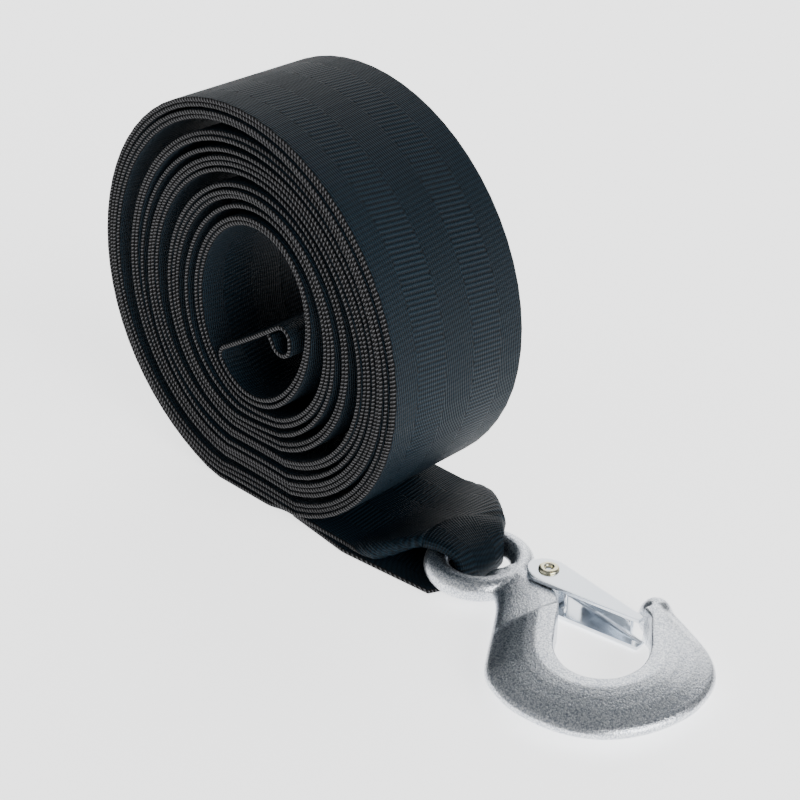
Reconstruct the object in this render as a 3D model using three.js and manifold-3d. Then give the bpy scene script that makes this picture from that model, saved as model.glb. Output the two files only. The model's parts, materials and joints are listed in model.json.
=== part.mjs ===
// A rolled winch strap with a snap hook in its end, lying on a level floor.
// Millimetres. X runs from the roll towards the hook, Y across the webbing, Z up from the floor.

import * as THREE from "three";
import { mergeVertices } from "three/addons/utils/BufferGeometryUtils.js";
import Module from "manifold-3d";

// Clearances, how far a cutter reaches past what it cuts, and the steps of round outlines
const seatGap = 0.3;
const cutMargin = 1;
const hookCurveSteps = 14;
const latchCurveSteps = 12;
const eyeSteps = [14, 40];
const rivetSides = 24;

// Webbing
const strapWidth = 50;
const plyThickness = 1.5;

// Roll: its outside, its bore and the gaps between its turns, which show on both ends
const rollLength = 126;
const rollHeight = 127;
const boreLength = 35;
const boreHeight = 49;
const boreAhead = 5.5;
const turnGapDepth = 1.6;
const turnGaps = [
  [0.11, 0.18],
  [0.23, 0.3],
  [0.38, 0.48],
  [0.55, 0.6],
  [0.67, 0.72],
  [0.8, 0.88],
];
const rollSides = 40;

// Inner end of the webbing, lying across the lower half of the bore
const innerEndLength = 27;
const innerEndHeight = 51;
const innerEndSlope = THREE.MathUtils.degToRad(25);

// Tail: two plies flat on the floor, gathered in to the hook's eye
const tailFlatReach = 44;
const gatherWidth = 26;
const gatherHeight = 8.5;
const gatherTop = 5;
const gatherLap = 3;
const loopWidth = 9;
const loopThickness = 3.4;
const loopOpening = 0.7;
const loopStem = 6;
const loopTopEnd = THREE.MathUtils.degToRad(118);
const underLayWidth = 25;
const underLayPastBar = 6;
const underLayShift = 2.5;

// Hook: where its eye lies, how far it is turned, and its thickness
const eyeReach = 79.7;
const eyeSide = -8.3;
const hookTurn = THREE.MathUtils.degToRad(-12.2);
const hookThickness = 12;
const hookEdge = 4;
const hookEdgeSteps = 4;
const hookSideFlat = 2;
const eyeRadius = 12.3;
const eyeBarRadius = 3.66;

// Hook: the bowl, the shank's back and the tip, from the eye's centre
const bowlReach = 55.5;
const bowlRadius = 12;
const bowlSection = 15.3;
const neckReach = 16.5;
const neckWidth = 13;
const shankSwell = [4, 2.4];
const shankSwellReach = [29, 35.5];
const outerStart = THREE.MathUtils.degToRad(-100);
const outerEnd = THREE.MathUtils.degToRad(25);
const tipSwell = [8, 2];
const tipSwellDepth = [4, 6];
const noseReach = 47.4;
const noseRadius = 4.7;
const noseSeat = 19.9;
const noseFlat = 3;
const noseCrown = 0.6;
const noseTop = THREE.MathUtils.degToRad(78);
const throatFall = 2.5;
const wallStart = THREE.MathUtils.degToRad(50);
const wallEnd = THREE.MathUtils.degToRad(-132);

// Latch: a folded sheet on a tubular rivet
const pivotReach = 18.7;
const pivotSide = 10.3;
const latchLength = 32.5;
const latchEarRadius = 6.3;
const latchTipWidth = 3.8;
const latchSheet = 1.2;
const latchWebStart = 9;
const bossRadius = 6;
const bossThickness = 7.2;
const bossStart = THREE.MathUtils.degToRad(46);
const bossEnd = THREE.MathUtils.degToRad(195);
const neckStart = THREE.MathUtils.degToRad(150);
const cheekReach = 19;
const rivetRadius = 2.2;
const rivetBore = 1.1;
const rivetHeadRadius = 3.3;
const rivetHeadHeight = 0.6;

// Places worked out from those sizes
const rollRadius = rollHeight / 2;
const midHeight = hookThickness / 2;
const latchHeight = bossThickness + 2 * (seatGap + latchSheet);
const latchTipHalf = latchTipWidth / 2;
const latchSpan = Math.hypot(latchLength, latchTipHalf);
const latchTurn = Math.asin((noseSeat - seatGap - pivotSide) / latchSpan)
  - Math.atan2(latchTipHalf, latchLength);

const wasm = await Module();
wasm.setup();

function toManifold(geometry) {
  const bare = geometry.clone();
  bare.deleteAttribute("normal");
  bare.deleteAttribute("uv");
  const merged = mergeVertices(bare, 1e-4);
  return new wasm.Manifold(new wasm.Mesh({
    numProp: 3,
    vertProperties: new Float32Array(merged.attributes.position.array),
    triVerts: new Uint32Array(merged.index.array),
  }));
}

function toGeometry(manifold) {
  const mesh = manifold.getMesh();
  const geometry = new THREE.BufferGeometry();
  geometry.setAttribute("position", new THREE.BufferAttribute(mesh.vertProperties, 3));
  geometry.setIndex(new THREE.BufferAttribute(mesh.triVerts, 1));
  const faceted = geometry.toNonIndexed();
  faceted.computeVertexNormals();
  return faceted;
}

// Extrudes an outline in X and Z across the webbing, centred on y = 0.
function acrossStrap(shape, width) {
  const geometry = new THREE.ExtrudeGeometry(shape, {
    depth: width,
    bevelEnabled: false,
  });
  geometry.rotateX(Math.PI / 2);
  geometry.translate(0, width / 2, 0);
  return geometry;
}

// Extrudes an outline in X and Y upwards from one height to another.
function upwards(shape, from, to) {
  const geometry = new THREE.ExtrudeGeometry(shape, {
    depth: to - from,
    bevelEnabled: false,
  });
  geometry.translate(0, 0, from);
  return geometry;
}

function circle(x, y, radius) {
  const shape = new THREE.Shape();
  shape.absarc(x, y, radius, 0, 2 * Math.PI);
  return shape;
}

function polygon(points) {
  return new THREE.Shape(points.map(([x, y]) => new THREE.Vector2(x, y)));
}

// Turns arcs and curves into points, without the doubled points where two of them meet.
function withoutDoubles(shape, divisions) {
  const points = [];
  for (const point of shape.getPoints(divisions)) {
    const near = [points[0], points[points.length - 1]];
    if (!near.some((other) => other && other.distanceTo(point) < 1e-3)) {
      points.push(point);
    }
  }
  return new THREE.Shape(points);
}

// One turn of the roll: 0 is the bore's wall and 1 the outside.
function turnOutline(share) {
  const points = [];
  for (let i = 0; i < rollSides; i += 1) {
    const angle = (2 * Math.PI * i) / rollSides;
    const inner = [boreAhead + (boreLength / 2) * Math.cos(angle), (boreHeight / 2) * Math.sin(angle)];
    const outer = [(rollLength / 2) * Math.cos(angle), rollRadius * Math.sin(angle)];
    points.push(new THREE.Vector2(
      THREE.MathUtils.lerp(inner[0], outer[0], share),
      rollRadius + THREE.MathUtils.lerp(inner[1], outer[1], share),
    ));
  }
  return points;
}

function turnRing(from, to) {
  const shape = new THREE.Shape(turnOutline(to));
  shape.holes.push(new THREE.Path(turnOutline(from)));
  return shape;
}

function makeRoll() {
  let roll = toManifold(acrossStrap(turnRing(0, 1), strapWidth));
  for (const [from, to] of turnGaps) {
    const gap = toManifold(acrossStrap(turnRing(from, to), 2 * turnGapDepth));
    roll = roll.subtract(gap.translate([0, -strapWidth / 2, 0]));
    roll = roll.subtract(gap.translate([0, strapWidth / 2, 0]));
  }
  return roll;
}

// The strap's inner end leaves the bore's front wall and runs back across the bore.
function makeInnerEnd() {
  const wall = boreAhead + boreLength / 2;
  const run = innerEndLength * Math.cos(innerEndSlope);
  const fall = innerEndLength * Math.sin(innerEndSlope);
  const top = innerEndHeight + fall;
  const end = acrossStrap(polygon([
    [wall - run, innerEndHeight],
    [wall - run, innerEndHeight - plyThickness],
    [wall, top - plyThickness],
    [wall + plyThickness, top],
  ]), strapWidth);
  return toManifold(end);
}

// The middle of the eye's bar on the strap's side, which the webbing loops round.
const barReach = eyeReach - eyeRadius * Math.cos(hookTurn);
const barSide = eyeSide - eyeRadius * Math.sin(hookTurn);
const loopBore = eyeBarRadius + seatGap + loopOpening * Math.SQRT2;
const gatherReach = barReach - loopBore - loopStem;
const gatherEnd = gatherReach + gatherLap;

function makeTail() {
  const plies = 2 * plyThickness;
  const profile = polygon([
    [0, 0],
    [gatherEnd, 0],
    [gatherEnd, gatherHeight],
    [gatherEnd - gatherTop, gatherHeight],
    [tailFlatReach, plies],
    [0, plies],
  ]);
  const plan = polygon([
    [0, -strapWidth / 2],
    [tailFlatReach, -strapWidth / 2],
    [gatherEnd, barSide - gatherWidth / 2],
    [gatherEnd, barSide + gatherWidth / 2],
    [tailFlatReach, strapWidth / 2],
    [0, strapWidth / 2],
  ]);
  const side = toManifold(acrossStrap(profile, strapWidth + 2 * cutMargin));
  return side.intersect(toManifold(upwards(plan, -cutMargin, gatherHeight + cutMargin)));
}

// The loop round the eye's bar, in line with the hook.
function makeLoop() {
  const outer = loopBore + loopThickness;
  const centre = loopOpening;
  const floor = -midHeight;
  const meet = Math.asin((floor - centre) / outer);
  const back = loopBore + loopStem;
  const shape = new THREE.Shape();
  shape.moveTo(-back, floor);
  shape.absarc(centre, centre, outer, meet, loopTopEnd, false);
  shape.lineTo(-back, gatherHeight - midHeight);
  const opening = circle(centre, centre, loopBore);
  return toManifold(acrossStrap(shape, loopWidth))
    .subtract(toManifold(acrossStrap(opening, loopWidth + 2 * cutMargin)))
    .rotate([0, 0, THREE.MathUtils.radToDeg(hookTurn)])
    .translate([barReach, barSide, midHeight]);
}

// The lower ply spreads out flat under the eye.
function makeUnderLay() {
  const height = midHeight - eyeBarRadius - seatGap;
  const start = tailFlatReach - gatherLap;
  const end = barReach + underLayPastBar;
  const middle = barSide - underLayShift;
  const plan = polygon([
    [start, -strapWidth / 2],
    [end, middle - underLayWidth / 2],
    [end, middle + underLayWidth / 2],
    [start, strapWidth / 2],
  ]);
  return toManifold(upwards(plan, 0, height));
}

function makeStrap() {
  return makeRoll()
    .add(makeInnerEnd())
    .add(makeTail())
    .add(makeLoop())
    .add(makeUnderLay());
}

// Hook outline from the eye's centre: round the back of the shank, the bowl, the nose and back.
function hookOutline() {
  const outerRadius = bowlRadius + bowlSection;
  const neckRadius = neckWidth / 2;
  const noseSide = noseSeat + noseRadius;
  const shape = new THREE.Shape();
  shape.moveTo(neckReach, -neckRadius);
  shape.bezierCurveTo(
    shankSwellReach[0], -neckRadius - shankSwell[0],
    shankSwellReach[1], -outerRadius - shankSwell[1],
    bowlReach + outerRadius * Math.cos(outerStart), outerRadius * Math.sin(outerStart),
  );
  shape.absarc(bowlReach, 0, outerRadius, outerStart, outerEnd, false);
  shape.bezierCurveTo(
    bowlReach + outerRadius - tipSwellDepth[0], noseSide - tipSwell[0],
    bowlReach + outerRadius - tipSwellDepth[1], noseSide - tipSwell[1],
    bowlReach + bowlRadius, noseSide + noseCrown,
  );
  shape.absarc(noseReach, noseSide, noseRadius, noseTop, (3 * Math.PI) / 2, false);
  shape.lineTo(noseReach + noseFlat, noseSeat);
  shape.quadraticCurveTo(
    bowlReach, noseSeat - throatFall,
    bowlReach + bowlRadius * Math.cos(wallStart), bowlRadius * Math.sin(wallStart),
  );
  shape.absarc(bowlReach, 0, bowlRadius, wallStart, wallEnd, true);
  shape.absarc(pivotReach, pivotSide, bossRadius, bossStart, bossEnd, false);
  shape.absarc(neckReach, 0, neckRadius, neckStart, (3 * Math.PI) / 2, false);
  return withoutDoubles(shape, hookCurveSteps);
}

function makeHookBody() {
  const bevelThickness = (hookThickness - hookSideFlat) / 2;
  const geometry = new THREE.ExtrudeGeometry(hookOutline(), {
    depth: hookSideFlat,
    bevelThickness,
    bevelSize: hookEdge,
    bevelOffset: -hookEdge,
    bevelSegments: hookEdgeSteps,
  });
  geometry.translate(0, 0, bevelThickness);
  return toManifold(geometry);
}

// Thins the shank on both faces where the latch's cheeks swing over it.
function thinForCheeks(body) {
  const cheek = circle(pivotReach, pivotSide, cheekReach);
  const depth = (hookThickness - bossThickness) / 2;
  const below = toManifold(upwards(cheek, -cutMargin, depth));
  const above = toManifold(upwards(cheek, hookThickness - depth, hookThickness + cutMargin));
  return body.subtract(below).subtract(above);
}

function makeHook() {
  const eye = new THREE.TorusGeometry(eyeRadius, eyeBarRadius, ...eyeSteps);
  eye.translate(0, 0, midHeight);
  const hole = circle(pivotReach, pivotSide, rivetRadius + seatGap);
  return thinForCheeks(makeHookBody())
    .add(toManifold(eye))
    .subtract(toManifold(upwards(hole, -cutMargin, hookThickness + cutMargin)));
}

// Latch outline from its pivot, with its length along X.
function latchOutline() {
  const taper = Math.asin((latchEarRadius - latchTipHalf) / latchLength);
  const shape = new THREE.Shape();
  shape.absarc(0, 0, latchEarRadius, Math.PI / 2 - taper, (3 * Math.PI) / 2 + taper, false);
  shape.lineTo(latchLength, -latchTipHalf);
  shape.lineTo(latchLength, latchTipHalf);
  return withoutDoubles(shape, latchCurveSteps);
}

function makeLatch() {
  const base = midHeight - latchHeight / 2;
  const sheet = toManifold(upwards(latchOutline(), base, base + latchHeight));
  const slope = (latchEarRadius - latchTipHalf) / latchLength;
  const webInside = (x) => latchEarRadius - slope * x - latchSheet;
  const beyond = 2 * latchEarRadius;
  const past = latchLength + beyond;
  const channel = polygon([
    [-beyond, -beyond],
    [past, -beyond],
    [past, webInside(past)],
    [latchWebStart, webInside(latchWebStart)],
    [latchWebStart, beyond],
    [-beyond, beyond],
  ]);
  const inside = toManifold(upwards(channel, base + latchSheet, base + latchHeight - latchSheet));
  const hole = upwards(circle(0, 0, rivetRadius + seatGap), -cutMargin, hookThickness + cutMargin);
  return sheet.subtract(inside).subtract(toManifold(hole));
}

function makeRivet() {
  const height = latchHeight + 2 * (seatGap + rivetHeadHeight);
  const profile = [
    [rivetBore, 0],
    [rivetHeadRadius, 0],
    [rivetHeadRadius, rivetHeadHeight],
    [rivetRadius, rivetHeadHeight],
    [rivetRadius, height - rivetHeadHeight],
    [rivetHeadRadius, height - rivetHeadHeight],
    [rivetHeadRadius, height],
    [rivetBore, height],
    [rivetBore, 0],
  ];
  const points = profile.map(([x, y]) => new THREE.Vector2(x, y));
  const geometry = new THREE.LatheGeometry(points, rivetSides);
  geometry.rotateX(Math.PI / 2);
  geometry.translate(0, 0, midHeight - height / 2);
  return toManifold(geometry);
}

function piece(name, manifold, color, roughness, metalness) {
  const material = new THREE.MeshStandardMaterial({ color, roughness, metalness });
  const mesh = new THREE.Mesh(toGeometry(manifold), material);
  mesh.name = name;
  return mesh;
}

const latchGroup = new THREE.Group();
latchGroup.position.set(pivotReach, pivotSide, 0);
const latch = piece("latch", makeLatch(), 0xc9d3dc, 0.25, 1);
latch.rotation.z = latchTurn;
latchGroup.add(latch);
latchGroup.add(piece("latch_rivet", makeRivet(), 0xc7bd94, 0.3, 1));

const hookGroup = new THREE.Group();
hookGroup.position.set(eyeReach, eyeSide, 0);
hookGroup.rotation.z = hookTurn;
hookGroup.add(piece("hook", makeHook(), 0xb9bec6, 0.45, 1));
hookGroup.add(latchGroup);

const winchStrap = new THREE.Group();
winchStrap.add(piece("strap", makeStrap(), 0x141b26, 0.85, 0));
winchStrap.add(hookGroup);

// The part's middle stands over the origin.
winchStrap.updateMatrixWorld(true);
const middle = new THREE.Box3().setFromObject(winchStrap, true).getCenter(new THREE.Vector3());
winchStrap.position.set(-middle.x, -middle.y, 0);
winchStrap.updateMatrixWorld(true);

export default winchStrap;
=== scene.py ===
import json
import math

import bpy
import numpy as np
from mathutils import Matrix, Vector


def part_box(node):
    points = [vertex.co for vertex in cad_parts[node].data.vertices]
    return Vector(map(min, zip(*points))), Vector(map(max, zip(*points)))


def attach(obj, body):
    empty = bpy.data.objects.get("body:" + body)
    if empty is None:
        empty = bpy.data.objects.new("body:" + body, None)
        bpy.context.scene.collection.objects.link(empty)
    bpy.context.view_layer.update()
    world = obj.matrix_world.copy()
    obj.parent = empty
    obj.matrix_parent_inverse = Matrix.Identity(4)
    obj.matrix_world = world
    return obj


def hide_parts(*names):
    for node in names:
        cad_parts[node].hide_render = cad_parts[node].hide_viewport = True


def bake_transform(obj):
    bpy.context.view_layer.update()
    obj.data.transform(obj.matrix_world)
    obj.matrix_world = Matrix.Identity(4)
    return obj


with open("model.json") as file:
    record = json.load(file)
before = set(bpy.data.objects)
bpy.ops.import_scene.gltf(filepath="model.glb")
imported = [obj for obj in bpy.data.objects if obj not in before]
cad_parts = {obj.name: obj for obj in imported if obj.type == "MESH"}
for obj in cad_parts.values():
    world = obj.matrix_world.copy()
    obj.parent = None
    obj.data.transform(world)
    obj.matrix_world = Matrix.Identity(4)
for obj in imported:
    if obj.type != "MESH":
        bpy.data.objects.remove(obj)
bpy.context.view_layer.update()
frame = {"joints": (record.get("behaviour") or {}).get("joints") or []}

# Places taken from the frame
joints = {joint["name"]: joint for joint in frame["joints"]}
bar_middle = np.array(joints["hook_swing"]["pos_m"]) * 1000
latch_pivot = np.array(joints["latch_pivot"]["pos_m"]) * 1000
swing_axis = joints["hook_swing"]["axis"]
hook_ahead = np.array([-swing_axis[1], swing_axis[0], 0.0])
hook_aside = np.array([swing_axis[0], swing_axis[1], 0.0]) * -1
strap_low, strap_high = (np.array(corner) * 1000 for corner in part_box("strap"))
mid_height = bar_middle[2]

# Webbing
STRAP_WIDTH = 50
STRAP_THICKNESS = 1.4
PLY_PITCH = 1.5
EDGE_ROUND = 0.5
ROLL_LENGTH = 126
ROLL_HEIGHT = 126.5
ROLL_ROUND = 119.4
ROLL_AHEAD = -3
ROLL_LEAN = 1.7

# Where the roll sags outwards: how much, at what angle, how widely
SAGS = ((0.131, -0.397, 1.077), (0.024, -2.748, 0.604))
BORE_LENGTH = 36
BORE_HEIGHT = 50
BORE_AHEAD = 5.5
BORE_TILT = math.radians(-12)
TURNS = 17
LAST_TURN = 16.13
STEPS_PER_TURN = 64

# Loose places between the turns: where, counted in turns from the outside, how wide, how long
LOOSE = (
    (0.0, 2.8, 0.06),
    (1.5, 1.0, 0.2),
    (3.0, 3.0, 0.16),
    (3.3, 7.5, 0.25),
    (5.5, 3.0, 0.2),
    (6.2, 3.5, 0.3),
    (7.0, 2.5, 0.16),
    (8.75, 6.0, 0.2),
    (9.3, 6.0, 0.3),
    (10.75, 3.5, 0.25),
    (12.2, 4.5, 0.3),
    (13.25, 3.0, 0.2),
    (13.75, 8.0, 0.25),
    (15.3, 3.5, 0.3),
)

# Inner end of the webbing: a fallen turn. Each bend is in degrees, with the length it takes
END_BENDS = ((93, 5.5), (-3, 29), (124, 7), (0, 2), (150, 10), (0, 3))

# Tail, from the roll's middle: it rises onto the under ply, then gathers in to the hook's eye
RISE_START = 7
RISE_END = 17
GATHER_START = 42
UNDER_PLY_HEIGHT = 0.78
TOP_PLY_HEIGHT = 2.3
UNDER_PLY_END = 18
UNDER_PLY_SHIFT = -1.5
UNDER_PLY_TUCK = 1.2

# Hook
EYE_RADIUS = 12.3
EYE_BAR_RADIUS = 3.66
WRAP_GAP = 0.35

eye_middle = bar_middle + EYE_RADIUS * hook_ahead
roll_middle = np.array([strap_low[0] + ROLL_LENGTH / 2, (strap_low[1] + strap_high[1]) / 2, 0.0])


def smooth(share):
    share = min(max(share, 0.0), 1.0)
    return share * share * (3 - 2 * share)


def lerp(start, end, share):
    return start + (end - start) * share


def in_hook(along, aside, height):
    """A point from the eye's middle, in line with the hook."""
    point = eye_middle + along * hook_ahead + aside * hook_aside
    return np.array([point[0], point[1], height])


def add_object(name, mesh, body, replaced=()):
    piece = bpy.data.objects.new(name, mesh)
    bpy.context.scene.collection.objects.link(piece)
    if body:
        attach(piece, body)
    if replaced:
        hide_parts(*replaced)
    return piece


def add_mesh(name, vertices, faces):
    mesh = bpy.data.meshes.new(name)
    mesh.from_pydata((np.array(vertices) * 0.001).tolist(), [], faces)
    mesh.validate()
    mesh.polygons.foreach_set("use_smooth", [True] * len(mesh.polygons))
    return mesh


# Camera and light: angles in radians, place in metres


CAMERA_AZIMUTH = 0.779
CAMERA_ELEVATION = 0.5263
CAMERA_PLACE = (0.31794, -0.32038, 0.31065)
CAMERA_LENS = 83.25
FLOOR_HALF = 4


def add_camera():
    back = np.array([
        math.sin(CAMERA_AZIMUTH) * math.cos(CAMERA_ELEVATION),
        -math.cos(CAMERA_AZIMUTH) * math.cos(CAMERA_ELEVATION),
        math.sin(CAMERA_ELEVATION),
    ])
    right = np.array([math.cos(CAMERA_AZIMUTH), math.sin(CAMERA_AZIMUTH), 0.0])
    up = np.cross(back, right)
    data = bpy.data.cameras.new("camera")
    data.lens = CAMERA_LENS
    data.sensor_width = 36
    data.clip_start = 0.01
    camera = bpy.data.objects.new("camera", data)
    turn = Matrix(np.column_stack([right, up, back]).tolist()).to_4x4()
    camera.matrix_world = Matrix.Translation(CAMERA_PLACE) @ turn
    bpy.context.scene.collection.objects.link(camera)
    bpy.context.scene.camera = camera


def add_window(name, direction, width, strength):
    data = bpy.data.lights.new(name, "SUN")
    data.energy = strength
    data.angle = math.radians(width)
    light = bpy.data.objects.new(name, data)
    light.rotation_euler = Vector(direction).to_track_quat("Z", "Y").to_euler()
    bpy.context.scene.collection.objects.link(light)


def add_studio():
    world = bpy.data.worlds.new("studio")
    world.use_nodes = True
    background = world.node_tree.nodes["Background"]
    background.inputs["Color"].default_value = (0.92, 0.96, 1.0, 1)
    background.inputs["Strength"].default_value = 0.25
    bpy.context.scene.world = world
    add_window("right_window", (1, -0.1, 0.42), 45, 3.6)
    add_window("back_window", (-0.5, 0.75, 0.5), 60, 1.8)
    add_window("front_fill", (-0.4, -1, 0.5), 70, 0.35)
    mesh = bpy.data.meshes.new("floor")
    corners = [(x * FLOOR_HALF, y * FLOOR_HALF, 0) for x, y in ((-1, -1), (1, -1), (1, 1), (-1, 1))]
    mesh.from_pydata(corners, [], [(0, 1, 2, 3)])
    floor = bpy.data.objects.new("floor", mesh)
    bpy.context.scene.collection.objects.link(floor)
    look = Look("floor_paint")
    look.set(base=(0.93, 0.93, 0.93), roughness=0.75, metallic=0, Emission_Strength=1.9)
    look.feed(look.shader, "Emission Color", (1.0, 1.0, 1.0))
    mesh.materials.append(look.material)


# Materials


class Value:
    """A shader socket that takes part in sums like a number."""

    def __init__(self, look, socket):
        self.look = look
        self.socket = socket

    def math(self, operation, *others):
        settings = {"operation": operation}
        inputs = dict(enumerate((self, *others)))
        return self.look.add("ShaderNodeMath", settings, inputs)

    def __add__(self, other):
        return self.math("ADD", other)

    __radd__ = __add__

    def __mul__(self, other):
        return self.math("MULTIPLY", other)

    __rmul__ = __mul__

    def __sub__(self, other):
        return self.math("SUBTRACT", other)

    def __rsub__(self, other):
        return self * -1 + other

    def __truediv__(self, other):
        return self.math("DIVIDE", other)

    def floor(self):
        return self.math("FLOOR")

    def size(self):
        return self.math("ABSOLUTE")

    def wave(self):
        """Runs from 0 to 1 and back once for each whole number."""
        return (self * (2 * math.pi)).math("COSINE") * 0.5 + 0.5

    def range(self, low, high):
        settings = {"interpolation_type": "SMOOTHSTEP"}
        inputs = {"Value": self, "From Min": low, "From Max": high}
        return self.look.add("ShaderNodeMapRange", settings, inputs)


class Look:
    """One material and its nodes."""

    def __init__(self, name):
        self.material = bpy.data.materials.new(name)
        self.material.use_nodes = True
        self.tree = self.material.node_tree
        self.shader = self.tree.nodes["Principled BSDF"]

    def feed(self, node, key, value):
        socket = node.inputs[key]
        if isinstance(value, Value):
            self.tree.links.new(value.socket, socket)
        elif isinstance(value, tuple) and len(value) == 3 and socket.type == "RGBA":
            socket.default_value = (*value, 1)
        else:
            socket.default_value = value

    def add(self, kind, settings, inputs, output=0):
        node = self.tree.nodes.new(kind)
        for key, value in settings.items():
            setattr(node, key, value)
        for key, value in inputs.items():
            self.feed(node, key, value)
        return Value(self, node.outputs[output])

    def mix(self, share, first, second):
        settings = {"data_type": "RGBA"}
        return self.add("ShaderNodeMix", settings, {0: share, 6: first, 7: second}, 2)

    def place(self):
        return self.add("ShaderNodeTexCoord", {}, {}, "Object")

    def noise(self, scale, detail, roughness):
        inputs = {
            "Vector": self.place(),
            "Scale": scale,
            "Detail": detail,
            "Roughness": roughness,
        }
        return self.add("ShaderNodeTexNoise", {}, inputs)

    def bump(self, height, distance, strength):
        inputs = {"Height": height, "Distance": distance, "Strength": strength}
        return self.add("ShaderNodeBump", {}, inputs)

    def set(self, base, roughness, metallic, normal=None, **others):
        self.feed(self.shader, "Base Color", base)
        self.feed(self.shader, "Roughness", roughness)
        self.feed(self.shader, "Metallic", metallic)
        if normal:
            self.feed(self.shader, "Normal", normal)
        for key, value in others.items():
            self.feed(self.shader, key.replace("_", " "), value)


# Webbing's weave in millimetres: its panels, yarns and ribs, and the loops along its edges
PANEL_WIDTH = 10.8
PANELS_START = -27.3
YARN_PITCH = 0.74
RIB_PITCH = 1.45
LOOP_PITCH = 1.25
SEAM_PITCH = 6


def webbing_look():
    """Five woven panels across the webbing, with a looped edge on each side."""
    look = Look("webbing_weave")
    flat = look.add("ShaderNodeUVMap", {"uv_map": "weave"}, {})
    along = look.add("ShaderNodeSeparateXYZ", {}, {0: flat}, "X") * 100
    across = look.add("ShaderNodeSeparateXYZ", {}, {0: flat}, "Y") * 100
    panel = (across - PANELS_START) / PANEL_WIDTH
    ribbed = panel.floor().math("MODULO", 2)
    way = ribbed * 2 - 1
    yarn_at = across / YARN_PITCH + along * 0.16 * (1 - ribbed)
    yarn = yarn_at.wave()
    rib = (along / RIB_PITCH + yarn_at.floor() * way * 0.05).wave()
    rib_share = ribbed * 0.35 + 0.3
    weave = yarn * (1 - rib_share) + rib * rib_share
    seam = (panel - (panel + 0.5).floor()).size().range(0.05, 0.0)
    seam_dot = seam * (along / SEAM_PITCH).wave().range(0.75, 0.95)
    side = across.size()
    edge = side.range(24.45, 24.7)
    edge_middle = (side - 25.65).size().range(0.95, 0.45)
    loops = (along / LOOP_PITCH + side * 0.35).wave() * (side.range(24.3, 24.8) * 0.6 + 0.4)
    height = weave * (1 - edge) + loops * edge * 1.6 - seam_dot * 0.5
    fibre = look.noise(900, 3, 0.6)
    patch = look.noise(22, 2, 0.5)
    tone = (weave * 0.9 + fibre * 0.35 - 0.15) * (patch * 0.5 + 0.75) * (1 - seam_dot * 0.6)
    yarn_colour = look.mix(tone, (0.0004, 0.0008, 0.0014), (0.0048, 0.0165, 0.0275))
    loop_share = loops.range(0.45, 0.95) * edge_middle
    loop_colour = look.mix(loop_share, (0.0008, 0.0008, 0.001), (0.085, 0.085, 0.09))
    colour = look.mix(edge, yarn_colour, loop_colour)
    normal = look.bump(height + fibre * 0.15, 0.00035, 0.9)
    roughness = weave * -0.1 + edge * 0.1 + 0.62
    look.set(colour, roughness, 0, normal, Specular_IOR_Level=0.12)
    return look.material


def forging_look():
    """Shot-blasted steel under bright zinc."""
    look = Look("zinc_on_forging")
    grain = look.noise(2900, 1, 0.5)
    pits = look.noise(1700, 2, 0.6)
    swells = look.noise(120, 1, 0.5)
    normal = look.bump(grain * 0.5 + pits * 0.6 + swells * 0.2, 0.00016, 0.9)
    tone = (pits * 0.5 + grain * 0.5).range(0.38, 0.62)
    colour = look.mix(tone, (0.36, 0.39, 0.45), (0.88, 0.9, 0.92))
    look.set(colour, pits * 0.12 + 0.24, 1, normal)
    return look.material


def sheet_look():
    """Bright zinc on rolled sheet."""
    look = Look("zinc_on_sheet")
    smear = look.noise(60, 2, 0.5)
    scratch = look.noise(500, 2, 0.5)
    colour = look.mix(smear, (0.66, 0.72, 0.8), (0.84, 0.87, 0.9))
    normal = look.bump(scratch + smear, 0.00004, 0.5)
    look.set(colour, smear * 0.15 + 0.12, 1, normal)
    return look.material


def rivet_look():
    look = Look("yellow_zinc")
    smear = look.noise(300, 2, 0.5)
    colour = look.mix(smear.range(0.35, 0.65), (0.62, 0.6, 0.5), (0.78, 0.72, 0.45))
    look.set(colour, smear * 0.2 + 0.15, 1, look.bump(smear, 0.00005, 0.5))
    return look.material


def spring_look():
    look = Look("spring_wire")
    smear = look.noise(400, 2, 0.5)
    look.set(look.mix(smear, (0.6, 0.63, 0.68), (0.8, 0.82, 0.85)), smear * 0.1 + 0.2, 1)
    return look.material


# Webbing: rows of points across the webbing, from its inner end out to the hook and back


COLUMNS = 29
across_strap = np.linspace(-1, 1, COLUMNS) * (STRAP_WIDTH / 2 - EDGE_ROUND)


def loose_at(turn):
    return sum(size * math.exp(-(((turn - at) / length) ** 2)) for at, size, length in LOOSE)


def roll_outside(angle):
    """The middle of the outermost turn: round, but sagging outwards and flat on the floor."""
    inset = PLY_PITCH / 2
    sag = 1 + sum(
        size * math.exp(-((math.remainder(angle - at, 2 * math.pi) / wide) ** 2))
        for size, at, wide in SAGS
    )
    return np.array([
        ROLL_AHEAD + (ROLL_ROUND / 2 * sag - inset) * math.cos(angle),
        max(ROLL_HEIGHT / 2 + (ROLL_HEIGHT / 2 * sag - inset) * math.sin(angle), inset),
    ])


def roll_bore(angle):
    local = angle - BORE_TILT
    x = (BORE_LENGTH / 2 + PLY_PITCH / 2) * math.cos(local)
    z = (BORE_HEIGHT / 2 + PLY_PITCH / 2) * math.sin(local)
    return np.array([
        BORE_AHEAD + x * math.cos(BORE_TILT) - z * math.sin(BORE_TILT),
        ROLL_HEIGHT / 2 + x * math.sin(BORE_TILT) + z * math.cos(BORE_TILT),
    ])


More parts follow.
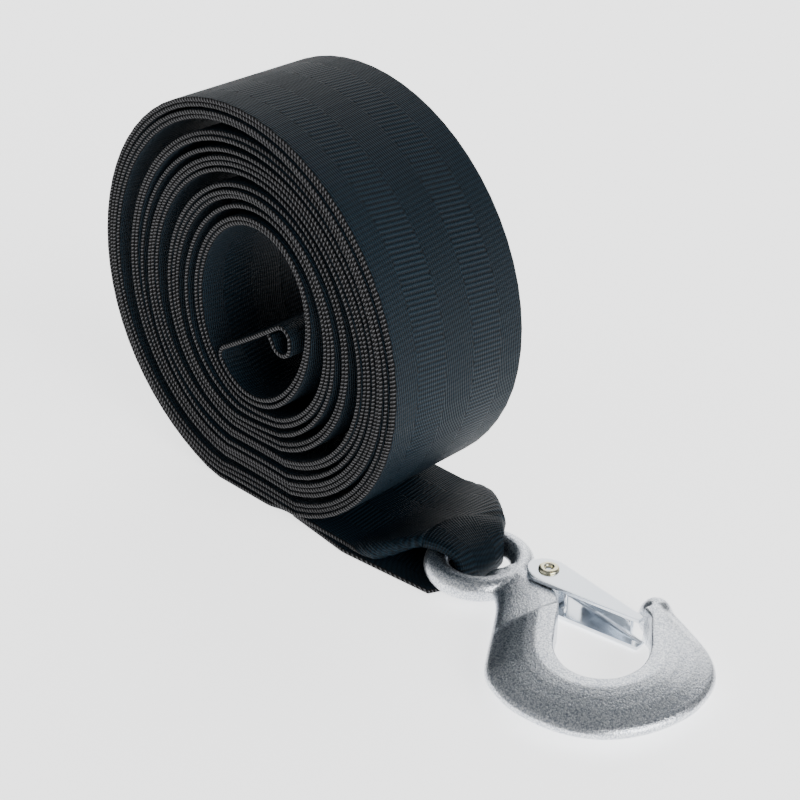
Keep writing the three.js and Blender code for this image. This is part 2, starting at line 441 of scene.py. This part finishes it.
def turn_place(turn):
    """The webbing's middle in X and Z, so many turns from the outside. 0 is under the roll."""
    part = turn % 1
    angle = -math.pi / 2 - 2 * math.pi * part
    outside = roll_outside(angle)
    bore = roll_bore(angle)
    room = np.linalg.norm(outside - bore) - PLY_PITCH
    loose = [loose_at(part + whole) for whole in range(-1, TURNS - 1)]
    ease = (room - PLY_PITCH * (TURNS - 1)) / sum(loose)
    depth = PLY_PITCH * (int(turn) + smooth((part - 0.6) / 0.3)) + ease * sum(loose[:int(turn) + 1])
    return lerp(outside, bore, depth / (room + PLY_PITCH))


def roll_row(x, z, shift):
    row = np.zeros((COLUMNS, 3))
    lean = ROLL_LEAN * (across_strap / STRAP_WIDTH + 0.5) * min(z / 40, 1)
    row[:, 0] = roll_middle[0] + x + lean
    row[:, 1] = roll_middle[1] + across_strap + shift
    row[:, 2] = z
    return row


def edge_shift(turn):
    """The turns don't lie quite flush at the roll's ends."""
    return 0.3 * math.sin(4.1 * turn + 1) + 0.2 * math.sin(11.3 * turn)


def inner_end_rows():
    start = turn_place(LAST_TURN)
    step = turn_place(LAST_TURN + 0.002) - start
    heading = math.atan2(step[1], step[0])
    x, z = start
    rows = []
    for bend, length in END_BENDS:
        count = math.ceil(length)
        for _ in range(count):
            heading -= math.radians(bend) / count
            x += length / count * math.cos(heading)
            z += length / count * math.sin(heading)
            rows.append(roll_row(x, z, edge_shift(LAST_TURN)))
    return rows[::-1]


def roll_rows():
    count = int(LAST_TURN * STEPS_PER_TURN)
    rows = []
    for i in range(count, 0, -1):
        turn = LAST_TURN * i / count
        x, z = turn_place(turn)
        rows.append(roll_row(x, z, edge_shift(turn) * smooth(turn / 0.5)))
    return rows


def flat_rows():
    rows = []
    for x in np.arange(ROLL_AHEAD, GATHER_START, 1.5):
        rise = smooth((x - RISE_START) / (RISE_END - RISE_START))
        rows.append(roll_row(x, lerp(PLY_PITCH / 2, TOP_PLY_HEIGHT, rise), 0))
    return rows


# The webbing crosses the eye's bar between these angles and lies in the eye as far as its middle
NEAR_TURN = math.radians(224)
FAR_TURN = math.radians(122)
NEAR_SPREAD = math.radians(262)
FAR_SPREAD = math.radians(118)
CROSSING_RADIUS = 16.2
FOLDED_HALF = 12.6
PLATEAU_RADIUS = EYE_BAR_RADIUS + WRAP_GAP + STRAP_THICKNESS / 2 + PLY_PITCH


def bezier(points, share):
    points = [np.array(point, float) for point in points]
    while len(points) > 1:
        points = [lerp(a, b, share) for a, b in zip(points, points[1:])]
    return points[0]


def on_roll_plan(x, y):
    return np.array([roll_middle[0] + x, roll_middle[1] + y])


def folded(across, flat_half, fold, width):
    """Where a place across the webbing lies once its margins are turned under, and how far down."""
    beyond = abs(across) - flat_half
    if beyond <= 0:
        return across / (2 * flat_half) + 0.5, 0
    turned = min(beyond / fold, math.pi)
    inward = beyond - turned * fold - fold * math.sin(turned)
    return 0.5 + math.copysign(0.5 - inward / width, across), fold * (1 - math.cos(turned))


def crossing(spot):
    """Where the webbing comes onto the eye's bar, from the eye's middle."""
    turn = lerp(NEAR_TURN, FAR_TURN, spot)
    return CROSSING_RADIUS * np.array([math.cos(turn), math.sin(turn)])


def gather_row(share):
    """One row of the gather: a top as wide as the fold lines leave, and two margins turned under."""
    near = bezier([
        on_roll_plan(GATHER_START, -STRAP_WIDTH / 2),
        on_roll_plan(52, -25.5),
        on_roll_plan(57, -20),
        in_hook(*crossing(0), 0)[:2],
    ], share)
    far = bezier([
        on_roll_plan(GATHER_START, STRAP_WIDTH / 2),
        on_roll_plan(55, 24),
        on_roll_plan(62, 17),
        in_hook(*crossing(1), 0)[:2],
    ], share)
    top = lerp(TOP_PLY_HEIGHT, mid_height + PLATEAU_RADIUS - 1, smooth(share * 1.25) ** 0.9)
    fold = lerp(0.75 + 2.4 * math.sin(math.pi * min(share * 1.1, 1)), PLY_PITCH / 2, smooth(share))
    fold = min(fold, max((top - TOP_PLY_HEIGHT) / 2, 0.05))
    width = np.linalg.norm(far - near)
    flat_half = lerp(min(width, STRAP_WIDTH) / 2, FOLDED_HALF, smooth(share))
    row = np.zeros((COLUMNS, 3))
    for j, across in enumerate(across_strap):
        spot, drop = folded(across, flat_half, fold, width)
        straight = lerp(near, far, spot)
        plan = lerp(straight, in_hook(*crossing(spot), 0)[:2], smooth(share) ** 2)
        hollow = 1.2 * math.sin(math.pi * share) * math.sin(math.pi * min(max(spot, 0), 1))
        row[j] = (*plan, top - drop - hollow)
    return row


def gather_rows():
    return [gather_row(i / 26) for i in range(26)]


def wrap_line(across):
    """The places that one lengthwise line of the webbing takes over, round and under the eye's bar."""
    spot, drop = folded(across, FOLDED_HALF, PLY_PITCH / 2, 2 * FOLDED_HALF)
    flat_spot = across / STRAP_WIDTH + 0.5
    top = mid_height + PLATEAU_RADIUS - drop
    outer = crossing(spot)
    reach = lerp(1.8, 0.4, spot) + 2 * math.sin(math.pi * spot) - drop
    inner = np.array([reach, lerp(-7.3, 7.6, spot)])
    turn = lerp(NEAR_SPREAD, FAR_SPREAD, flat_spot)
    under = CROSSING_RADIUS * np.array([math.cos(turn), math.sin(turn)])
    plan_and_height = [
        (outer, top - 1),
        (lerp(outer, inner, 0.42), top),
        (lerp(outer, inner, 0.85), top - 0.8),
        (inner, mid_height + 1.5),
        (lerp(inner, under, 0.06), 2.9),
        (lerp(inner, under, 0.35), 1.2),
        (under, UNDER_PLY_HEIGHT),
    ]
    return smooth_line([(*plan, height) for plan, height in plan_and_height], 4)


def wrap_rows():
    lines = [[in_hook(*point) for point in wrap_line(across)] for across in across_strap]
    return list(np.array(lines).transpose(1, 0, 2))


def under_rows(first):
    """The under ply: from below the eye's bar, spreading out, back to its end under the roll."""
    rows = []
    count = 30
    for i in range(1, count + 1):
        share = i / count
        row = np.zeros((COLUMNS, 3))
        for j, across in enumerate(across_strap):
            back = max(share - 0.45, 0) / 0.55
            x = lerp(GATHER_START, UNDER_PLY_END, back)
            y = across + lerp(UNDER_PLY_SHIFT, UNDER_PLY_TUCK, back)
            end = np.array([*on_roll_plan(x, y), UNDER_PLY_HEIGHT])
            row[j] = lerp(first[j], end, min(share / 0.45, 1))
        rows.append(row)
    return rows


def ribbon(rows):
    """A closed mesh round the rows' points, with a UV map in the webbing's own length and width."""
    grid = np.array(rows)
    ahead = np.gradient(grid, axis=0)
    aside = np.gradient(grid, axis=1)
    normal = np.cross(aside, ahead)
    normal /= np.linalg.norm(normal, axis=2, keepdims=True)
    half = STRAP_THICKNESS / 2
    right = aside[:, -1] / np.linalg.norm(aside[:, -1], axis=1, keepdims=True)
    left = -aside[:, 0] / np.linalg.norm(aside[:, 0], axis=1, keepdims=True)
    loop = [grid[:, j] + half * normal[:, j] for j in range(COLUMNS)]
    for tilt in (45, 0, -45):
        lift = half * math.sin(math.radians(tilt))
        loop.append(grid[:, -1] + lift * normal[:, -1] + EDGE_ROUND * math.cos(math.radians(tilt)) * right)
    loop += [grid[:, j] - half * normal[:, j] for j in range(COLUMNS - 1, -1, -1)]
    for tilt in (-45, 0, 45):
        lift = half * math.sin(math.radians(tilt))
        loop.append(grid[:, 0] + lift * normal[:, 0] + EDGE_ROUND * math.cos(math.radians(tilt)) * left)
    around = len(loop)
    vertices = np.stack(loop, axis=1).reshape(-1, 3)
    count = len(rows)
    edge = np.linspace(across_strap[-1], across_strap[-1] + 2.3, 5)
    starts = [*across_strap[:-1], *edge[:-1], *across_strap[:0:-1], *-edge[:0:-1]]
    ends = [*across_strap[1:], *edge[1:], *across_strap[-2::-1], *-edge[-2::-1]]
    steps = np.linalg.norm(np.diff(grid[:, COLUMNS // 2], axis=0), axis=1)
    length = np.concatenate([[0], np.cumsum(steps)])
    faces = []
    corners = []
    for i in range(count - 1):
        for k in range(around):
            after = (k + 1) % around
            faces.append((
                i * around + k,
                i * around + after,
                (i + 1) * around + after,
                (i + 1) * around + k,
            ))
            corners += [
                (length[i], starts[k]), (length[i], ends[k]),
                (length[i + 1], ends[k]), (length[i + 1], starts[k]),
            ]
    for base, turned in ((0, True), ((count - 1) * around, False)):
        cap = [base + k for k in range(around)]
        faces.append(tuple(cap[::-1] if turned else cap))
        corners += [(0, 0)] * around
    mesh = add_mesh("webbing", vertices, faces)
    layer = mesh.uv_layers.new(name="weave")
    layer.data.foreach_set("uv", (np.array(corners) / 100).ravel())
    return mesh


def make_webbing():
    wrap = wrap_rows()
    rows = inner_end_rows() + roll_rows() + flat_rows() + gather_rows() + wrap + under_rows(wrap[-1])
    mesh = ribbon(rows)
    mesh.materials.append(webbing_look())
    webbing = add_object("webbing", mesh, None, ["strap"])
    start = on_roll_plan(GATHER_START + 13, 0) * 0.001
    end = on_roll_plan(GATHER_START + 22, 0) * 0.001
    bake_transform(webbing)


# Hook: sections from the shank's inner side to its back, then one skin over all


INNER_SIDE = (
    (9, 5.4), (14, 6.2), (20, 7.0), (27, 6.8), (34.3, 1.8), (38.5, -2.2), (43.4, -6.6),
    (48.7, -10.8), (55.8, -12.8), (62.4, -10.8), (66.9, -5), (67.4, 1.5), (65.6, 6.4),
    (62.1, 10.9), (58, 14.4), (54.5, 17.3), (51.5, 19.6), (48, 20.3),
)
OUTER_SIDE = (
    (9, -5.4), (15, -6.2), (20, -8.8), (25.7, -13.7), (31.8, -19.4), (36.5, -23.8), (41, -27.6),
    (46.6, -29.8), (57, -30.2), (69, -26), (78, -18), (82.8, -7), (83.6, 5), (81.2, 13.9), (76.6, 21.2),
    (68.8, 26), (58, 28.6), (47.5, 30.4),
)
# Width of the flat band along the inner side, from the neck round to the nose
BANDS = (3, 3, 3.5, 5, 6.4, 6.4, 5.8, 5.2, 4.4, 4, 4, 4.4, 5, 5, 5, 4, 4, 4)
SECTION_STEPS = 7

# Solids joined to the sections: the boss round the rivet with its root, the neck and the nose
SHANK_HALF = 3.55
BOSS_EDGE = ((6.0, 2.3), (5.7, 3.1), (4.9, SHANK_HALF), (0.01, SHANK_HALF))
BOSS_ROOT_ASIDE = 4.5
BOSS_ROOT_RADII = (6.4, 6.2, 3.5)
NECK_PLACE = (11.5, 0, 0)
NECK_RADII = (5.5, 6.2, 3.5)
NOSE_PLACE = (47.2, 25.4, 0)
NOSE_RADII = (4.9, 4.8, 6.0)
SKIN_VOXEL = 0.00038


def smooth_line(points, steps):
    """A smooth line through the points, with so many steps from each to the next."""
    points = [np.array(point, float) for point in points]
    padded = [2 * points[0] - points[1], *points, 2 * points[-1] - points[-2]]
    line = []
    for a, b, c, d in zip(padded, padded[1:], padded[2:], padded[3:]):
        for i in range(steps):
            t = i / steps
            line.append(0.5 * (
                2 * b + (c - a) * t + (2 * a - 5 * b + 4 * c - d) * t ** 2
                + (3 * b - a - 3 * c + d) * t ** 3
            ))
    line.append(points[-1])
    return line


def section_outline(width, half, band, rim):
    """Half of a section, from the inner wall over the top band and down the slope to the rim."""
    lip = 0.7
    band = min(band, width * 0.45)
    shoulder = width - min(2.8, width * 0.25)
    return [
        (0.0, 0.0),
        (0.0, half - lip),
        (0.25 * lip, half - 0.3 * lip),
        (lip, half),
        (band, half),
        (lerp(band, shoulder, 0.3), lerp(half, rim, 0.22)),
        (lerp(band, shoulder, 0.7), lerp(half, rim, 0.62)),
        (shoulder, rim),
        (lerp(shoulder, width, 0.6), rim * 0.72),
        (lerp(shoulder, width, 0.93), rim * 0.36),
        (width, 0.0),
    ]


def hook_sections():
    inner = smooth_line(INNER_SIDE, SECTION_STEPS)
    outer = smooth_line(OUTER_SIDE, SECTION_STEPS)
    pivot = latch_pivot - eye_middle
    pivot_at = np.array([pivot @ hook_ahead, pivot @ hook_aside])
    sections = []
    for i, (near, far) in enumerate(zip(inner, outer)):
        width = np.linalg.norm(far - near)
        ahead = (far - near) / width
        gap = np.linalg.norm((near + far) / 2 - pivot_at)
        full = smooth((gap - 19) / 4) if near[0] > 12 else 0
        half = lerp(SHANK_HALF, mid_height, full)
        band = np.interp(i / SECTION_STEPS, range(len(BANDS)), BANDS)
        rim = lerp(2.2, 2.5, full)
        outline = section_outline(width, half, band, rim)
        loop = [(*(near + ahead * a), z) for a, z in outline]
        loop += [(x, y, -z) for x, y, z in loop[-2:0:-1]]
        sections.append(loop)
    return sections


def skin_sections(sections):
    around = len(sections[0])
    vertices = [point for loop in sections for point in loop]
    faces = []
    for i in range(len(sections) - 1):
        for k in range(around):
            after = (k + 1) % around
            faces.append((
                i * around + k,
                i * around + after,
                (i + 1) * around + after,
                (i + 1) * around + k,
            ))
    faces.append(tuple(range(around - 1, -1, -1)))
    faces.append(tuple((len(sections) - 1) * around + k for k in range(around)))
    return vertices, faces


def torus(radius, bar, around, about):
    vertices = []
    faces = []
    for i in range(around):
        turn = 2 * math.pi * i / around
        for k in range(about):
            tilt = 2 * math.pi * k / about
            reach = radius + bar * math.cos(tilt)
            vertices.append((reach * math.cos(turn), reach * math.sin(turn), bar * math.sin(tilt)))
            faces.append((
                i * about + k,
                ((i + 1) % around) * about + k,
                ((i + 1) % around) * about + (k + 1) % about,
                i * about + (k + 1) % about,
            ))
    return vertices, faces


def lathe(profile, around):
    """A closed profile of radius and height turned about Z."""
    vertices = []
    faces = []
    count = len(profile)
    for i in range(around):
        turn = 2 * math.pi * i / around
        for k, (radius, height) in enumerate(profile):
            vertices.append((radius * math.cos(turn), radius * math.sin(turn), height))
            faces.append((
                i * count + k,
                ((i + 1) % around) * count + k,
                ((i + 1) % around) * count + (k + 1) % count,
                i * count + (k + 1) % count,
            ))
    return vertices, faces


def ball(middle, radii, around=32):
    vertices = []
    faces = []
    rings = around // 2
    for i in range(1, rings):
        tilt = math.pi * i / rings
        for k in range(around):
            turn = 2 * math.pi * k / around
            vertices.append((
                middle[0] + radii[0] * math.sin(tilt) * math.cos(turn),
                middle[1] + radii[1] * math.sin(tilt) * math.sin(turn),
                middle[2] + radii[2] * math.cos(tilt),
            ))
    for i in range(rings - 2):
        for k in range(around):
            after = (k + 1) % around
            faces.append((
                i * around + k,
                (i + 1) * around + k,
                (i + 1) * around + after,
                i * around + after,
            ))
    faces.append(tuple(range(around)))
    faces.append(tuple((rings - 2) * around + k for k in range(around - 1, -1, -1)))
    return vertices, faces


def join_parts(parts):
    vertices = []
    faces = []
    for points, polygons in parts:
        start = len(vertices)
        vertices += [tuple(point) for point in points]
        faces += [tuple(start + corner for corner in polygon) for polygon in polygons]
    return vertices, faces


def from_hook_frame(vertices):
    return [in_hook(x, y, mid_height + z) for x, y, z in vertices]


def apply_modifiers(piece):
    graph = bpy.context.evaluated_depsgraph_get()
    mesh = bpy.data.meshes.new_from_object(piece.evaluated_get(graph))
    piece.modifiers.clear()
    piece.data = mesh


def make_hook():
    pivot = latch_pivot - eye_middle
    px, py = pivot @ hook_ahead, pivot @ hook_aside
    lower = [(radius, -z) for radius, z in BOSS_EDGE[::-1]]
    boss_points, boss_faces = lathe([*lower, *BOSS_EDGE], 40)
    boss_points = [(px + x, py + y, z) for x, y, z in boss_points]
    parts = [
        skin_sections(hook_sections()),
        torus(EYE_RADIUS, EYE_BAR_RADIUS, 72, 24),
        (boss_points, boss_faces),
        ball((px, BOSS_ROOT_ASIDE, 0), BOSS_ROOT_RADII),
        ball(NOSE_PLACE, NOSE_RADII),
        ball(NECK_PLACE, NECK_RADII),
    ]
    vertices, faces = join_parts(parts)
    mesh = add_mesh("hook_forging", from_hook_frame(vertices), faces)
    hook = add_object("hook_forging", mesh, "hook", ["hook"])
    remesh = hook.modifiers.new("skin", "REMESH")
    remesh.mode = "VOXEL"
    remesh.voxel_size = SKIN_VOXEL
    relax = hook.modifiers.new("relax", "CORRECTIVE_SMOOTH")
    relax.iterations = 2
    relax.use_only_smooth = True
    apply_modifiers(hook)
    hook.data.polygons.foreach_set("use_smooth", [True] * len(hook.data.polygons))
    hook.data.materials.clear()
    hook.data.materials.append(forging_look())


# Latch: a sheet folded into a channel, with an ear on each side of the shank


LATCH_LENGTH = 32.5
LATCH_EAR = 6.3
LATCH_TIP_HALF = 1.9
LATCH_SHEET = 1.1
LATCH_SPAN = 10.2
LATCH_BEND = 1.6
LATCH_WEB_START = 9
LATCH_WEB_END = 28
NOSE_SEAT = 19.9
SEAT_GAP = 0.3
latch_rise = NOSE_SEAT - SEAT_GAP - (latch_pivot - eye_middle) @ hook_aside
latch_turn = math.asin(latch_rise / math.hypot(LATCH_LENGTH, LATCH_TIP_HALF))
latch_turn -= math.atan2(LATCH_TIP_HALF, LATCH_LENGTH)


def latch_edges(x):
    """The latch's near and far edge, so far from its pivot."""
    if x < 0:
        half = math.sqrt(max(LATCH_EAR ** 2 - x ** 2, 0.01))
        return -half, half
    half = lerp(LATCH_EAR, LATCH_TIP_HALF, x / LATCH_LENGTH)
    return -half, half


def latch_point(x, y, z):
    turned = (
        x * math.cos(latch_turn) - y * math.sin(latch_turn),
        x * math.sin(latch_turn) + y * math.cos(latch_turn),
    )
    pivot = latch_pivot - eye_middle
    return in_hook(pivot @ hook_ahead + turned[0], pivot @ hook_aside + turned[1], mid_height + z)


def make_latch():
    level = LATCH_SPAN / 2 - LATCH_SHEET / 2
    stations = [-LATCH_EAR * math.cos(math.radians(a)) for a in range(6, 90, 9)]
    stations += [0, 2, 4, 6, 7.5, 9, 11, 13.5, 16, 19, 22, 25, 28, 30.5, 32.5]
    grid = []
    for x in stations:
        near, far = latch_edges(x)
        far -= LATCH_SHEET / 2
        near += LATCH_SHEET / 4
        bend = min(LATCH_BEND, (far - near) * 0.4)
        row = [(x, lerp(near, far - bend, i / 7), level) for i in range(8)]
        row += [
            (x, far - bend + bend * math.sin(angle), level - bend + bend * math.cos(angle))
            for angle in np.radians([22.5, 45, 67.5, 90])
        ]
        row += [(x, far, 0.4 * level), (x, far, 0)]
        row += [(a, b, -c) for a, b, c in row[-2::-1]]
        grid.append(row)
    across = len(grid[0])
    faces = []
    for i in range(len(grid) - 1):
        for k in range(across - 1):
            web = 10 <= k < across - 11
            if web and not LATCH_WEB_START <= stations[i] < LATCH_WEB_END:
                continue
            a = i * across + k
            faces.append((a, a + across, a + across + 1, a + 1))
    vertices = [latch_point(*point) for row in grid for point in row]
    mesh = add_mesh("latch_sheet", vertices, faces)
    latch = add_object("latch_sheet", mesh, "latch", ["latch"])
    thick = latch.modifiers.new("thickness", "SOLIDIFY")
    thick.thickness = LATCH_SHEET * 0.001
    thick.offset = 0
    bevel = latch.modifiers.new("edges", "BEVEL")
    bevel.width = 0.0002
    bevel.segments = 2
    bevel.limit_method = "ANGLE"
    bevel.angle_limit = math.radians(50)
    apply_modifiers(latch)
    latch.data.polygons.foreach_set("use_smooth", [True] * len(latch.data.polygons))
    latch.data.materials.append(sheet_look())


# Spring: from its end inside the latch's tip back along the web, then down beside the shank
SPRING_WIRE = 0.5
SPRING_LINE = (
    (27.5, 1.5, 0.6), (22, 2.1, 0.8), (16, 2.8, 1.0), (11.5, 2.8, 1.6), (9.2, 0.6, 3.2), (8.4, -1.6, 3.6),
    (8.9, -3.2, 1.6), (9.6, -4.0, -0.8), (9.4, -3.8, -2.8), (8.2, -2.6, -3.9), (6.5, -1.6, -4.0),
)


def tube(points, radius, around=12):
    """A round wire along the points, closed at both ends."""
    points = np.array(points)
    ahead = np.gradient(points, axis=0)
    ahead /= np.linalg.norm(ahead, axis=1, keepdims=True)
    side = np.cross(ahead[0], (0.3, 0.2, 1))
    vertices = []
    faces = []
    for i, (point, way) in enumerate(zip(points, ahead)):
        side = side - (side @ way) * way
        side = side / np.linalg.norm(side)
        other = np.cross(way, side)
        for k in range(around):
            turn = 2 * math.pi * k / around
            vertices.append(point + radius * (math.cos(turn) * side + math.sin(turn) * other))
            if i:
                after = (k + 1) % around
                start = (i - 1) * around
                faces.append((start + k, start + after, start + around + after, start + around + k))
    faces.append(tuple(range(around - 1, -1, -1)))
    faces.append(tuple((len(points) - 1) * around + k for k in range(around)))
    return vertices, faces


def make_spring():
    line = [latch_point(*point) for point in smooth_line(SPRING_LINE, 6)]
    vertices, faces = tube(line, SPRING_WIRE)
    mesh = add_mesh("latch_spring", vertices, faces)
    mesh.materials.append(spring_look())
    add_object("latch_spring", mesh, "latch")


RIVET_TOP = 6.0


def make_rivet():
    top = RIVET_TOP
    profile = [(1.1, 0.0), (1.1, top - 0.5), (1.3, top - 0.15), (1.8, top), (2.5, top - 0.1)]
    profile += [(2.9, top - 0.35), (3.0, top - 0.65), (2.9, top - 0.85), (2.2, top - 0.9), (2.2, 0.0)]
    lower = [(radius, -height) for radius, height in profile[-2:0:-1]]
    vertices, faces = lathe(profile + lower, 40)
    place = latch_pivot - eye_middle
    px, py = place @ hook_ahead, place @ hook_aside
    points = [in_hook(px + x, py + y, mid_height + z) for x, y, z in vertices]
    mesh = add_mesh("rivet_tube", points, faces)
    mesh.materials.append(rivet_look())
    add_object("rivet_tube", mesh, "hook", ["latch_rivet"])


add_camera()
add_studio()
make_webbing()
make_hook()
make_latch()
make_spring()
make_rivet()
